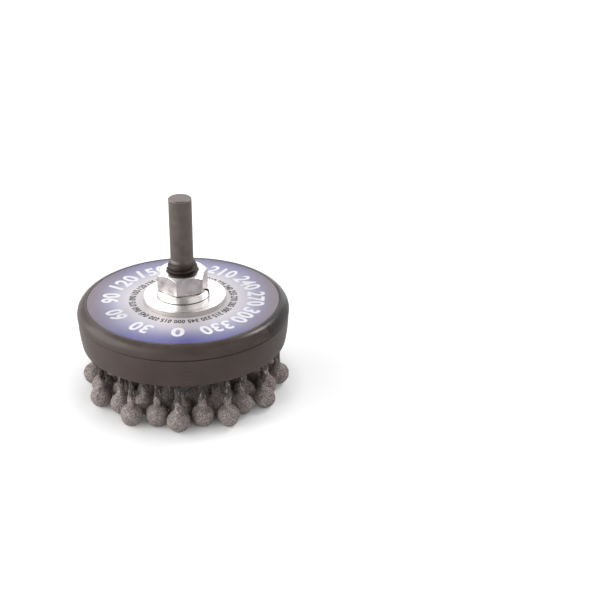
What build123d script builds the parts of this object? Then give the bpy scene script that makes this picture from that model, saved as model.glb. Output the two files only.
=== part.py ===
from build123d import *
import math
import os

os.makedirs("parts", exist_ok=True)

# Flexible ball hone with a flat face, standing on its balls with the shank up.
# Millimetres and degrees. +Z is the tool axis, and z = 0 is the surface the balls stand on.

# Shank, its cone and the half inch stud below it
shank_d = 9.525
shank_length = 26.6
shank_chamfer = 0.35
neck_length = 3.8
stud_d = 12.7
stud_chamfer = 0.9
stud_above_nut = 1.5
stud_below_nut = 1.4

# Jam nuts, one above the cover and one in the well of the brush block
nut_flats = 19.05
nut_thickness = 7.94
nut_chamfer_angle = 30.0
nut_countersink = 0.55
jam_nut_turn = -8.5
lower_nut_turn = 17.0

# Split lock washer
lock_washer_d = 22.2
lock_washer_bore_d = 13.1
lock_washer_thickness = 3.18
split_width = 0.9
split_slant = 28.0
split_bearing = -12.0

# Flat washer on the cover, pushed to one side by its loose bore, and the washer in the well
flat_washer_d = 34.93
flat_washer_bore_d = 14.29
flat_washer_thickness = 2.4
flat_washer_offset = 0.6
lower_washer_d = 26.97
lower_washer_bore_d = 13.49
lower_washer_thickness = 2.4
washer_edge_round = 0.35

# Body: the cover above the groove, and the brush block whose skirt hangs below it
body_d = 88.9
body_height = 18.1
reach = 22.6
shoulder_drop = 4.5
rim_width = 0.9
label_d = 80.4
label_thickness = 0.25
cover_plate = 3.6
cover_wall = 3.4
groove_gap = 0.2
groove_bevel = 0.35

# Brush block
skirt_height = 12.2
skirt_step = 0.25
skirt_draft = 1.2
skirt_wall = 2.0
lip_bevel = 0.45
face_recess = 3.0
resin_depth = 1.5
resin_creep = 0.7
resin_creep_width = 1.6
well_d = 29.4
well_collar_wall = 1.6
hub_web = 4.0
root_hole_depth = 7.5

# Balls on their filaments
ring_count = 4
balls_per_ring = 12
pitch_share = 0.2665
ball_gap = 1.3
filament_d = 1.6
edge_land = 1.65
splay = 1.0
tail_neck_d = 2.8
tail_tip_d = 2.0
tail_shoulder_angle = 42.0
tail_clear_of_mouth = 2.6
ball_size_spread = 0.13
ball_place_spread = 0.18
tail_length_spread = 0.9
spread_rate = 12.9898

# Clearances
thread_clearance = 0.05
stud_clearance = 0.25
spigot_clearance = 0.08
label_clearance = 0.1
filament_clearance = 0.05
resin_clearance = 0.04
blind_end_clearance = 0.3

# Heights that follow from the sizes above
mouth_z = reach
skirt_top_z = mouth_z + skirt_height
cover_bottom_z = skirt_top_z + groove_gap
rim_z = mouth_z + body_height
shoulder_z = rim_z - shoulder_drop
label_seat_z = rim_z - label_thickness
cover_underside_z = rim_z - cover_plate
resin_face_z = mouth_z + face_recess
block_face_z = resin_face_z + resin_depth
well_roof_z = cover_underside_z - hub_web
hole_end_z = block_face_z + root_hole_depth
lock_washer_z = rim_z + flat_washer_thickness
jam_nut_z = lock_washer_z + lock_washer_thickness
stud_top_z = jam_nut_z + nut_thickness + stud_above_nut
shank_z = stud_top_z + neck_length
shank_top_z = shank_z + shank_length
lower_washer_z = well_roof_z - lower_washer_thickness
lower_nut_z = lower_washer_z - nut_thickness
stud_bottom_z = lower_nut_z - stud_below_nut
tail_top_z = mouth_z - tail_clear_of_mouth

# Radii that follow from the sizes above
body_r = body_d / 2
stud_r = stud_d / 2
stud_hole_r = stud_r + stud_clearance
label_recess_r = label_d / 2 + label_clearance
rim_outer_r = label_recess_r + rim_width
cover_inner_r = body_r - cover_wall
spigot_r = cover_inner_r - spigot_clearance
skirt_top_r = body_r - skirt_step
mouth_r = skirt_top_r - skirt_draft
skirt_inner_r = mouth_r - skirt_wall
well_r = well_d / 2
collar_r = well_r + well_collar_wall
filament_r = filament_d / 2
filament_hole_r = filament_r + filament_clearance

# Staggered rings: each ball stands one pitch from its two neighbours in the next ring
outer_circle_r = skirt_inner_r - edge_land - filament_hole_r + splay
ball_pitch = pitch_share * outer_circle_r
ball_d = ball_pitch - ball_gap
half_step = math.pi / balls_per_ring


def ring_radii():
    """Radii of the ball circles, from the inner ring to the outer one."""
    radii = [outer_circle_r]
    for _ in range(ring_count - 1):
        outer = radii[0]
        half_chord = outer * math.sin(half_step)
        radial = math.sqrt(ball_pitch**2 - half_chord**2)
        radii.insert(0, outer * math.cos(half_step) - radial)
    return radii


def spread(ring, place, salt):
    """A fixed uneven value from -1 to 1, for balls that are coated by hand."""
    return math.sin(spread_rate * (ring * balls_per_ring + place + 1) + salt * (place + ring + 2))


class BallSeat:
    """Where one ball stands, and the straight line of its filament up to the block."""

    def __init__(self, ring, place, circle_r):
        angle = 2 * place * half_step
        if (ring_count - 1 - ring) % 2:
            angle += half_step
        around = Vector(-math.sin(angle), math.cos(angle), 0)
        outward = Vector(math.cos(angle), math.sin(angle), 0)
        self.radius = ball_d / 2 + ball_size_spread * spread(ring, place, 1)
        out = circle_r + ball_place_spread * spread(ring, place, 2)
        aside = ball_place_spread * spread(ring, place, 3)
        self.centre = outward * out + around * aside + Vector(0, 0, self.radius)
        self.root = outward * (circle_r - splay) + Vector(0, 0, resin_face_z)
        self.line = (self.root - self.centre).normalized()
        self.plane = Plane(origin=self.centre, z_dir=self.line)
        tail_top = tail_top_z + tail_length_spread * spread(ring, place, 4)
        self.tail_length = (tail_top - self.centre.Z) / self.line.Z
        self.end_length = (hole_end_z - self.centre.Z) / self.line.Z


def ring_seats(ring, circle_r):
    """The seats of all the balls in one ring."""
    return [BallSeat(ring, place, circle_r) for place in range(balls_per_ring)]


def turned(outline):
    """A solid turned about +Z from a closed outline drawn in the XZ plane."""
    return revolve(make_face(outline), Axis.Z)


def line(*points):
    """Straight edges through (radius, height) points."""
    return Polyline(*[(radius, 0, height) for radius, height in points])


def disc(outer_r, inner_r, low_z, high_z, edge_round=0.0):
    """A flat ring with its outer edges rounded, or a disc when its inner radius is 0."""
    if edge_round == 0:
        corners = [(inner_r, low_z), (outer_r, low_z), (outer_r, high_z), (inner_r, high_z)]
        return turned(line(*corners, corners[0]))
    flat_r = outer_r - edge_round
    low_corner = ((outer_r, 0, low_z + edge_round), (0, 0, -1))
    high_corner = ((outer_r, 0, high_z - edge_round), (0, 0, 1))
    outline = line((flat_r, low_z), (inner_r, low_z), (inner_r, high_z), (flat_r, high_z))
    outline += TangentArc(high_corner[0], (flat_r, 0, high_z), tangent=high_corner[1])
    outline += line((outer_r, high_z - edge_round), (outer_r, low_z + edge_round))
    outline += TangentArc(low_corner[0], (flat_r, 0, low_z), tangent=low_corner[1])
    return turned(outline)


def make_arbor():
    """The shank, its cone and the stud, turned from one bar."""
    shank_r = shank_d / 2
    corners = [
        (0, stud_bottom_z),
        (stud_r - stud_chamfer, stud_bottom_z),
        (stud_r, stud_bottom_z + stud_chamfer),
        (stud_r, stud_top_z),
        (shank_r, shank_z),
        (shank_r, shank_top_z - shank_chamfer),
        (shank_r - shank_chamfer, shank_top_z),
        (0, shank_top_z),
    ]
    return turned(line(*corners, corners[0]))


def make_nut(low_z, turn):
    """A jam nut with both faces chamfered, and a bore countersunk at both ends."""
    high_z = low_z + nut_thickness
    flat_r = nut_flats / 2
    bore_r = stud_r + thread_clearance
    corner_r = flat_r / math.cos(math.pi / 6)
    drop = (corner_r - flat_r) * math.tan(math.radians(nut_chamfer_angle))
    sink_r = bore_r + nut_countersink
    hexagon = RegularPolygon(radius=flat_r, side_count=6, major_radius=False, rotation=turn - 90)
    prism = Pos(0, 0, low_z) * extrude(hexagon, amount=nut_thickness)
    corners = [
        (bore_r, low_z + nut_countersink),
        (sink_r, low_z),
        (flat_r, low_z),
        (corner_r, low_z + drop),
        (corner_r, high_z - drop),
        (flat_r, high_z),
        (sink_r, high_z),
        (bore_r, high_z - nut_countersink),
    ]
    return prism & turned(line(*corners, corners[0]))


def make_lock_washer():
    """A lock washer with a slanting split."""
    outer_r = lock_washer_d / 2
    washer = disc(outer_r, lock_washer_bore_d / 2, lock_washer_z, jam_nut_z)
    slot = Box(lock_washer_d, split_width, 3 * lock_washer_thickness)
    slot = Pos(outer_r, 0, (lock_washer_z + jam_nut_z) / 2) * Rot(X=split_slant) * slot
    return washer - Rot(Z=split_bearing) * slot


def make_flat_washer():
    """The wide washer on the cover, pushed to one side of the stud."""
    bore_r = flat_washer_bore_d / 2
    washer = disc(flat_washer_d / 2, bore_r, rim_z, lock_washer_z, washer_edge_round)
    return Pos(flat_washer_offset, 0, 0) * washer


def make_label():
    """The round printed disc in the recess of the cover."""
    return disc(label_d / 2, flat_washer_bore_d / 2, label_seat_z, rim_z)


def make_cover():
    """The cover: a plate with a round shoulder, a wall that hangs over the block and a recess."""
    outline = line(
        (rim_outer_r, rim_z),
        (label_recess_r, rim_z),
        (label_recess_r, label_seat_z),
        (stud_hole_r, label_seat_z),
        (stud_hole_r, cover_underside_z),
        (cover_inner_r, cover_underside_z),
        (cover_inner_r, cover_bottom_z),
        (body_r - groove_bevel, cover_bottom_z),
        (body_r, cover_bottom_z + groove_bevel),
        (body_r, shoulder_z),
    )
    outline += TangentArc((body_r, 0, shoulder_z), (rim_outer_r, 0, rim_z), tangent=(0, 0, 1))
    return turned(outline)


def root_bores(seats, low_z, high_z, radius):
    """Slanting drills along the filaments of some seats, from one height to another."""
    drills = []
    for seat in seats:
        start = (low_z - seat.centre.Z) / seat.line.Z
        length = (high_z - low_z) / seat.line.Z
        drill = Cylinder(radius, length, align=(Align.CENTER, Align.CENTER, Align.MIN))
        drills.append(seat.plane.location * Pos(0, 0, start) * drill)
    return drills


def make_brush_block(seats):
    """The block: a register for the cover, a bowed skirt, a centre well and a hole per filament."""
    outline = line(
        (skirt_top_r, skirt_top_z),
        (spigot_r, skirt_top_z),
        (spigot_r, cover_underside_z),
        (stud_hole_r, cover_underside_z),
        (stud_hole_r, well_roof_z),
        (well_r, well_roof_z),
        (well_r, resin_face_z - resin_creep),
        (collar_r, resin_face_z - resin_creep),
        (collar_r, block_face_z),
        (skirt_inner_r, block_face_z),
        (skirt_inner_r, mouth_z + lip_bevel),
        (skirt_inner_r + lip_bevel, mouth_z),
        (mouth_r - lip_bevel, mouth_z),
        (mouth_r, mouth_z + lip_bevel),
    )
    top_corner = (skirt_top_r, 0, skirt_top_z)
    outline += TangentArc(top_corner, (mouth_r, 0, mouth_z + lip_bevel), tangent=(0, 0, -1))
    below = block_face_z - resin_depth
    above = hole_end_z + blind_end_clearance
    return turned(outline) - root_bores(seats, below, above, filament_hole_r)


def make_resin_bed(seats):
    """The potting resin round the roots, creeping up the walls on both sides."""
    inner_r = collar_r + resin_clearance
    outer_r = skirt_inner_r - resin_clearance
    creep_z = resin_face_z - resin_creep
    outline = line(
        (inner_r, creep_z),
        (inner_r, block_face_z),
        (outer_r, block_face_z),
        (outer_r, creep_z),
    )
    inner_foot = (inner_r + resin_creep_width, 0, resin_face_z)
    outer_foot = (outer_r - resin_creep_width, 0, resin_face_z)
    outline += TangentArc(outer_foot, (outer_r, 0, creep_z), tangent=(1, 0, 0))
    outline += Line(outer_foot, inner_foot)
    outline += TangentArc(inner_foot, (inner_r, 0, creep_z), tangent=(-1, 0, 0))
    below = creep_z - resin_depth
    above = block_face_z + resin_depth
    return turned(outline) - root_bores(seats, below, above, filament_hole_r)


def make_ball(seat):
    """One abrasive ball with the tail that tapers up its filament, bored for the filament."""
    neck_r = tail_neck_d / 2
    tip_r = tail_tip_d / 2
    bore_r = filament_hole_r
    slope = math.radians(tail_shoulder_angle)
    shoulder = (seat.radius * math.sin(slope), 0, seat.radius * math.cos(slope))
    narrowing = shoulder[0] - neck_r
    neck_z = shoulder[2] + narrowing / math.tan((math.pi / 2 - slope) / 2)
    outline = ThreePointArc((0, 0, -seat.radius), (seat.radius, 0, 0), shoulder)
    tangent = (-math.cos(slope), 0, math.sin(slope))
    outline += TangentArc(shoulder, (neck_r, 0, neck_z), tangent=tangent)
    outline += line(
        (neck_r, neck_z),
        (tip_r, seat.tail_length),
        (bore_r, seat.tail_length),
        (bore_r, -blind_end_clearance),
        (0, -blind_end_clearance),
        (0, -seat.radius),
    )
    return seat.plane.location * turned(outline)


def make_filament(seat):
    """One nylon filament, from the middle of its ball to the end of its hole in the block."""
    filament = Cylinder(filament_r, seat.end_length, align=(Align.CENTER, Align.CENTER, Align.MIN))
    return seat.plane.location * filament


rings = [ring_seats(ring, circle_r) for ring, circle_r in enumerate(ring_radii())]
all_seats = [seat for seats in rings for seat in seats]

lower_bore_r = lower_washer_bore_d / 2
lower_washer_r = lower_washer_d / 2
parts = {
    "arbor": make_arbor(),
    "jam_nut": make_nut(jam_nut_z, jam_nut_turn),
    "split_lock_washer": make_lock_washer(),
    "flat_washer": make_flat_washer(),
    "label_disc": make_label(),
    "backing_cover": make_cover(),
    "brush_block": make_brush_block(all_seats),
    "resin_bed": make_resin_bed(all_seats),
    "lower_washer": disc(lower_washer_r, lower_bore_r, lower_washer_z, well_roof_z, washer_edge_round),
    "lower_jam_nut": make_nut(lower_nut_z, lower_nut_turn),
}
for ring, seats in enumerate(rings):
    parts[f"ball_ring_{ring + 1}"] = Compound([make_ball(seat) for seat in seats])
    parts[f"filament_ring_{ring + 1}"] = Compound([make_filament(seat) for seat in seats])

for name, shape in parts.items():
    export_step(shape, f"parts/{name}.step")
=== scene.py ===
"""Looks of a flat-faced flexible ball hone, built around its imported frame.

The frame gives every body, node and size. Each sub-assembly below is a class that reads its place
from the frame, builds its meshes in the frame's own metres and dresses them in a finish.

In a finish, a reach says where an effect starts and where it is full, a share says how much of it is
mixed in at most, and a relief gives a bump's depth in metres and its strength.
"""

import logging
import math
from dataclasses import dataclass, field
from enum import Enum

import bpy
import numpy as np
from mathutils import Matrix, Vector, noise


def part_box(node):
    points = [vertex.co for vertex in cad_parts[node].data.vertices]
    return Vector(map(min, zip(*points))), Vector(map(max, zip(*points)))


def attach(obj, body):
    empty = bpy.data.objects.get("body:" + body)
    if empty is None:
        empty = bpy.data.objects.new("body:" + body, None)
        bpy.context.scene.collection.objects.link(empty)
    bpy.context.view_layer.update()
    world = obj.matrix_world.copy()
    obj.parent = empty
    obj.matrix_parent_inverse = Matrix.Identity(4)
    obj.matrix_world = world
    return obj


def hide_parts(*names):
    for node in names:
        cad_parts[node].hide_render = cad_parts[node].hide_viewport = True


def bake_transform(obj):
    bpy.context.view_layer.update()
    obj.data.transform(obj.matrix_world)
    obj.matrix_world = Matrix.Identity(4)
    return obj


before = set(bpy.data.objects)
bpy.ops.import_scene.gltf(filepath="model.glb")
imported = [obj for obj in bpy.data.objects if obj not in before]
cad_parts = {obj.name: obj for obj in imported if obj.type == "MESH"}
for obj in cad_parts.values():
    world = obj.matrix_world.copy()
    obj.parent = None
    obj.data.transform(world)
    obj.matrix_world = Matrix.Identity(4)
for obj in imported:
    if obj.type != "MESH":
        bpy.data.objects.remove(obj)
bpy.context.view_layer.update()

MM = 0.001
HUB = "hub"
RING_NUMBERS = (1, 2, 3, 4)
FULL_TURN = 2.0 * math.pi
UPRIGHT = Vector((0.0, 0.0, 1.0))
CREASE = math.radians(50)

log = logging.getLogger("ball_hone")


class Slot(str, Enum):
    """The record's material slots."""

    ARBOR_STEEL = "arbor_steel"
    PLATED_NUT = "plated_nut"
    PLATED_WASHER = "plated_washer"
    LABEL = "label"
    HOUSING = "housing"
    RESIN = "resin"
    ABRASIVE = "abrasive"
    NYLON = "nylon"


class Skin:
    """Gathers grids of points into one mesh.

    A grid has rows of points that run along an outline, and columns that run counter-clockwise
    round the tool axis. An outline that goes counter-clockwise gives faces that look outwards.
    """

    def __init__(self) -> None:
        """Start with no points."""
        self.points: list[np.ndarray] = []
        self.faces: list[tuple[int, ...]] = []
        self.count = 0

    def add_points(self, points: np.ndarray) -> int:
        """Add points.

        Args:
            points: An array of points, three numbers each in its last axis.

        Returns:
            The index of the first one.
        """
        flat = points.reshape(-1, 3)
        first = self.count
        self.points.append(flat)
        self.count += len(flat)
        return first

    def add_grid(
        self,
        grid: np.ndarray,
        wrap: bool = True,
        loop: bool = False,
        close_start: bool = False,
        close_end: bool = False,
    ) -> None:
        """Add a grid of points with its faces.

        Args:
            grid: Points, by row, column and axis.
            wrap: Whether the last column joins the first.
            loop: Whether the last row joins the first.
            close_start: Whether the first row is closed by a fan.
            close_end: Whether the last row is closed by a fan.
        """
        rows, columns = grid.shape[:2]
        index = np.arange(rows * columns).reshape(rows, columns) + self.add_points(grid)
        if wrap:
            index = np.concatenate([index, index[:, :1]], axis=1)
        if loop:
            index = np.concatenate([index, index[:1]], axis=0)
        quads = np.stack([index[:-1, :-1], index[:-1, 1:], index[1:, 1:], index[1:, :-1]], axis=-1)
        self.faces.extend(map(tuple, quads.reshape(-1, 4).tolist()))
        if close_start:
            self._add_fan(grid[0], index[0][::-1])
        if close_end:
            self._add_fan(grid[-1], index[-1])

    def _add_fan(self, row: np.ndarray, ring: np.ndarray) -> None:
        """Close a ring of points with triangles to its middle.

        Args:
            row: The ring's points.
            ring: Their indices, the first one again at the end.
        """
        middle = self.add_points(row.mean(axis=0))
        for start, end in zip(ring[:-1].tolist(), ring[1:].tolist()):
            self.faces.append((start, end, middle))

    def add_mesh(self, mesh: bpy.types.Mesh, matrix: Matrix) -> None:
        """Add another mesh's points and faces.

        Args:
            mesh: The other mesh.
            matrix: What moves its points.
        """
        points = np.array([matrix @ vertex.co for vertex in mesh.vertices])
        first = self.add_points(points)
        self.faces.extend(tuple(first + i for i in face.vertices) for face in mesh.polygons)

    def make(self, name: str, sharp_angle: float = 0.0) -> bpy.types.Object:
        """Make the object.

        Args:
            name: The piece's name.
            sharp_angle: Edges that turn by more than this many radians look sharp, and 0 is none.

        Returns:
            The object, linked to the scene.
        """
        mesh = bpy.data.meshes.new(name)
        mesh.from_pydata(np.concatenate(self.points), [], self.faces)
        mesh.shade_smooth()
        if sharp_angle:
            mesh.set_sharp_from_angle(angle=sharp_angle)
        mesh.update()
        piece = bpy.data.objects.new(name, mesh)
        bpy.context.scene.collection.objects.link(piece)
        return piece


def turn_steps(columns: int) -> np.ndarray:
    """Give the angles of equal steps round a full turn."""
    return np.arange(columns) * FULL_TURN / columns


def round_axis(radius: np.ndarray, height: np.ndarray | float, angles: np.ndarray | float) -> np.ndarray:
    """Set points round the tool axis.

    Args:
        radius: The radius of each row, or of each point.
        height: The height of each row, or of each point.
        angles: The angle of each column, or of each point.

    Returns:
        A grid of points.
    """
    across = radius * np.cos(angles)
    return np.stack([across, radius * np.sin(angles), np.broadcast_to(height, across.shape)], axis=-1)


@dataclass(frozen=True)
class Corner:
    """A corner of a turned outline, with the radius that rounds it."""

    radius: float
    height: float
    rounding: float = 0.0


class Outline:
    """The turned outline of a piece, in radius and height, with its corners rounded."""

    ARC_STEPS = 5
    SUPPORT = 0.08 * MM
    SUPPORT_SHARE = 0.3
    FLAT_SHARE = 0.48

    def __init__(self, corners: list[Corner], closed: bool = True) -> None:
        """Work out the outline's points.

        Args:
            corners: The corners, counter-clockwise with the radius to the right.
            closed: Whether the last corner joins the first.
        """
        self.points: list[tuple[float, float]] = []
        spots = [Vector((corner.radius, corner.height)) for corner in corners]
        for i, corner in enumerate(corners):
            at_end = not closed and i in (0, len(corners) - 1)
            if at_end or corner.rounding == 0:
                self.points.append(tuple(spots[i]))
                continue
            before, after = spots[i - 1], spots[(i + 1) % len(spots)]
            self._round(before, spots[i], after, corner.rounding)

    def _round(self, before: Vector, spot: Vector, after: Vector, rounding: float) -> None:
        """Replace a corner with an arc, and hold the flats beside it straight.

        Args:
            before: The corner before it.
            spot: The corner.
            after: The corner after it.
            rounding: The arc's radius, made smaller where the flats are too short for it.
        """
        back = (before - spot).normalized()
        ahead = (after - spot).normalized()
        half = math.acos(max(-1.0, min(1.0, back.dot(ahead)))) / 2
        reach = rounding / math.tan(half)
        limit = self.FLAT_SHARE * min((before - spot).length, (after - spot).length)
        if reach > limit:
            reach = limit
            rounding = reach * math.tan(half)
        middle = spot + (back + ahead).normalized() * (rounding / math.sin(half))
        start, end = spot + back * reach, spot + ahead * reach
        support = min(self.SUPPORT, self.SUPPORT_SHARE * reach)
        self.points.append(tuple(start + back * support))
        for step in range(self.ARC_STEPS + 1):
            share = step / self.ARC_STEPS
            spoke = (start - middle).lerp(end - middle, share)
            self.points.append(tuple(middle + spoke.normalized() * rounding))
        self.points.append(tuple(end + ahead * support))

    def turned(self, columns: int) -> np.ndarray:
        """Turn the outline about the tool axis, into a grid of points with that many columns."""
        outline = np.array(self.points)
        return round_axis(outline[:, :1], outline[:, 1:], turn_steps(columns))


def rough(points: np.ndarray, size: float, seed: float) -> np.ndarray:
    """Give smooth noise at some points.

    Args:
        points: Points, three numbers each in the last axis.
        size: The size of the noise's lumps, in metres.
        seed: An offset that makes one noise differ from another.

    Returns:
        A value of about -1 to 1 for each point.
    """
    flat = points.reshape(-1, 3) / size + seed
    values = [noise.noise(Vector(spot)) for spot in flat.tolist()]
    return np.array(values).reshape(points.shape[:-1])


@dataclass(frozen=True)
class Lumps:
    """Unevenness of one size: the width of its lumps, how far they stand out, and its own seed."""

    size: float
    depth: float
    seed: float = 0.0

    def at(self, points: np.ndarray, seed: float = 0.0) -> np.ndarray:
        """Give how far they stand out at some points, where another seed may be added to their own."""
        return rough(points, self.size, seed + self.seed) * self.depth


def smooth_step(value: np.ndarray | float, low: float, high: float) -> np.ndarray:
    """Rise smoothly from 0 at low to 1 at high."""
    share = np.clip((np.asarray(value) - low) / (high - low), 0.0, 1.0)
    return share * share * (3.0 - 2.0 * share)


@dataclass(frozen=True)
class Mottle:
    """Noise on a surface: the size and the detail of its lumps, and the span in which it shows."""

    size: float
    detail: float = 2.0
    span: tuple = (0.3, 0.7)


class Nodes:
    """The nodes of a material or a world, added one at a time and joined as they are added."""

    def __init__(self, name: str, world: bool = False) -> None:
        """Make an empty material or world with its output.

        Args:
            name: Its name.
            world: Whether it is a world.
        """
        self.owner = (bpy.data.worlds if world else bpy.data.materials).new(name)
        self.owner.use_nodes = True
        self.tree = self.owner.node_tree
        self.tree.nodes.clear()
        self.output = self.tree.nodes.new("ShaderNodeOutputWorld" if world else "ShaderNodeOutputMaterial")

    def add(self, kind: str, sockets: dict | None = None, **settings: object) -> bpy.types.Node:
        """Add a node.

        Args:
            kind: The node's type, without ShaderNode before it.
            sockets: What each input takes, by name or number: a value, or another node's output.
            **settings: The node's own settings.

        Returns:
            The node.
        """
        node = self.tree.nodes.new("ShaderNode" + kind)
        for key, value in settings.items():
            setattr(node, key, value)
        for key, value in (sockets or {}).items():
            if isinstance(value, bpy.types.NodeSocket):
                self.tree.links.new(value, node.inputs[key])
            else:
                node.inputs[key].default_value = value
        return node

    def place(self) -> bpy.types.NodeSocket:
        """Give the place of a point in its piece, in metres."""
        return self.add("TexCoord").outputs["Object"]

    def axes(self) -> list[bpy.types.NodeSocket]:
        """Give that place's three parts, along X, Y and Z."""
        return list(self.add("SeparateXYZ", {0: self.place()}).outputs)

    def noise(self, mottle: Mottle, vector: object = None) -> bpy.types.NodeSocket:
        """Give plain noise, by the place of a point in its piece or by another vector."""
        sockets = {"Vector": vector or self.place(), "Scale": 1.0 / mottle.size, "Detail": mottle.detail}
        return self.add("TexNoise", sockets).outputs["Fac"]

    def patches(self, mottle: Mottle, to: tuple = (0.0, 1.0), vector: object = None) -> object:
        """Give noise as patches, with one value below its span and another above it."""
        return self.between(self.noise(mottle, vector), *mottle.span, to)

    def math(self, operation: str, *values: object) -> bpy.types.NodeSocket:
        """Give the result of a sum on values or outputs."""
        return self.add("Math", dict(enumerate(values)), operation=operation).outputs[0]

    def between(self, value: object, low: float, high: float, to: tuple = (0.0, 1.0)) -> object:
        """Map a value from one range to another, and keep it inside."""
        sockets = {"Value": value, "From Min": low, "From Max": high, "To Min": to[0], "To Max": to[1]}
        return self.add("MapRange", sockets).outputs["Result"]

    def blend(self, share: object, first: object, second: object) -> object:
        """Give the first value where the share is 0, the second where it is 1, and between them a blend."""
        return self.between(share, 0.0, 1.0, (first, second))

    def mix(self, share: object, first: object, second: object) -> bpy.types.NodeSocket:
        """Mix two colours.

        Args:
            share: The share of the second one.
            first: The first colour.
            second: The second colour.

        Returns:
            The mixed colour.
        """
        node = self.add("Mix", {"Factor": share}, data_type="RGBA")
        for socket, value in ((node.inputs[6], first), (node.inputs[7], second)):
            if isinstance(value, bpy.types.NodeSocket):
                self.tree.links.new(value, socket)
            else:
                socket.default_value = (*value, 1.0)
        return node.outputs[2]

    def radius(self) -> bpy.types.NodeSocket:
        """Give the distance from the tool axis.

        Returns:
            The distance at each point, in metres.
        """
        across, along, _ = self.axes()
        flat = self.add("CombineXYZ", {0: across, 1: along})
        return self.add("VectorMath", {0: flat.outputs[0]}, operation="LENGTH").outputs["Value"]

    def height(self) -> bpy.types.NodeSocket:
        """Give the height above the ball tips, in metres."""
        return self.axes()[2]

    def rings(self, mottle: Mottle) -> bpy.types.NodeSocket:
        """Give noise that runs round the tool axis in rings."""
        vector = self.add("CombineXYZ", {0: self.radius(), 1: self.height()}).outputs[0]
        return self.noise(mottle, vector)

    def bump(self, height: object, depth: float, strength: object, under: object = None) -> object:
        """Give a normal bent by a height map.

        Args:
            height: The height map.
            depth: The height that its value of 1 stands for, in metres.
            strength: How strongly it bends the normal.
            under: A normal that is bent already.

        Returns:
            The normal.
        """
        sockets = {"Height": height, "Distance": depth, "Strength": strength}
        if under is not None:
            sockets["Normal"] = under
        return self.add("Bump", sockets).outputs[0]

    def seen(self, *rays: str) -> bpy.types.NodeSocket:
        """Give 1 where a surface is met by certain rays, and 0 for others.

        Args:
            *rays: The names of the rays.

        Returns:
            The value.
        """
        path = self.add("LightPath").outputs
        either = path[f"Is {rays[0]} Ray"]
        for ray in rays[1:]:
            either = self.math("MAXIMUM", either, path[f"Is {ray} Ray"])
        return either

    def show(self, shader: bpy.types.Node) -> bpy.types.Material | bpy.types.World:
        """Join the last shader to the output."""
        self.tree.links.new(shader.outputs[0], self.output.inputs["Surface"])
        return self.owner

    def finish(
        self, colour: object, roughness: object, normal: object, others: dict | None = None
    ) -> bpy.types.Material:
        """Add the surface's shader and join it to the output.

        Args:
            colour: The surface's colour.
            roughness: Its roughness.
            normal: Its normal.
            others: What the shader's other inputs take, by name.

        Returns:
            The material.
        """
        sockets = {"Base Color": colour, "Roughness": roughness, "Normal": normal, **(others or {})}
        return self.show(self.add("BsdfPrincipled", sockets))


def srgb(red: float, green: float, blue: float) -> tuple[float, float, float]:
    """Turn a colour from 0 to 255 as seen on a screen into the shader's linear one."""
    values = [channel / 255.0 for channel in (red, green, blue)]
    return tuple(v / 12.92 if v <= 0.04045 else ((v + 0.055) / 1.055) ** 2.4 for v in values)


@dataclass(frozen=True)
class OxidisedSteel:
    """Turned steel with a dark oxide skin."""

    name: str = "oxidised_steel"
    dark: tuple = srgb(100, 91, 87)
    light: tuple = srgb(112, 103, 98)
    grimy: tuple = srgb(66, 58, 55)
    faced: tuple = srgb(120, 110, 107)
    oiled: tuple = srgb(62, 54, 51)
    faced_height: float = 85.25 * MM
    faced_fade: float = 0.1 * MM
    oiled_height: float = 59.0 * MM
    oil_fade: float = 1.5 * MM
    cloud: Mottle = Mottle(4.0 * MM, 4.0, (0.35, 0.7))
    turning: Mottle = Mottle(0.14 * MM)
    turning_relief: tuple = (0.012 * MM, 0.6)
    grime_and_painted_shade: Mottle = Mottle(0.9 * MM, 3.0, (0.6, 0.75))
    grime_relief: tuple = (0.01 * MM, 0.5)
    grime_and_painted_shade_share: float = 0.3
    metal: float = 0.75
    roughness: tuple = (0.36, 0.5)

    def material(self) -> bpy.types.Material:
        """Build the steel, pale on its faced end and darker where it is oiled.

        Returns:
            The material.
        """
        nodes = Nodes(self.name)
        turning = nodes.rings(self.turning)
        grime_and_painted_shade = nodes.noise(self.grime_and_painted_shade)
        colour = nodes.mix(nodes.patches(self.cloud), self.dark, self.light)
        grimy = nodes.between(grime_and_painted_shade, *self.grime_and_painted_shade.span, (0.0, self.grime_and_painted_shade_share))
        colour = nodes.mix(grimy, colour, self.grimy)
        height = nodes.height()
        faced = nodes.between(height, self.faced_height, self.faced_height + self.faced_fade)
        colour = nodes.mix(faced, colour, self.faced)
        oiled = nodes.between(height, self.oiled_height, self.oiled_height - self.oil_fade)
        colour = nodes.mix(oiled, colour, self.oiled)
        rough_value = nodes.between(turning, *self.turning.span, self.roughness)
        rough_value = nodes.blend(oiled, rough_value, self.roughness[1])
        normal = nodes.bump(turning, *self.turning_relief)
        normal = nodes.bump(grime_and_painted_shade, *self.grime_relief, normal)
        return nodes.finish(colour, rough_value, normal, {"Metallic": self.metal})


@dataclass(frozen=True)
class Split:
    """Where a lock washer is cut.

    The bearing and the half width are in radians. The lean is in radians for each metre above the
    washer's middle height.
    """

    bearing: float
    half_width: float
    lean: float
    middle: float


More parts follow.
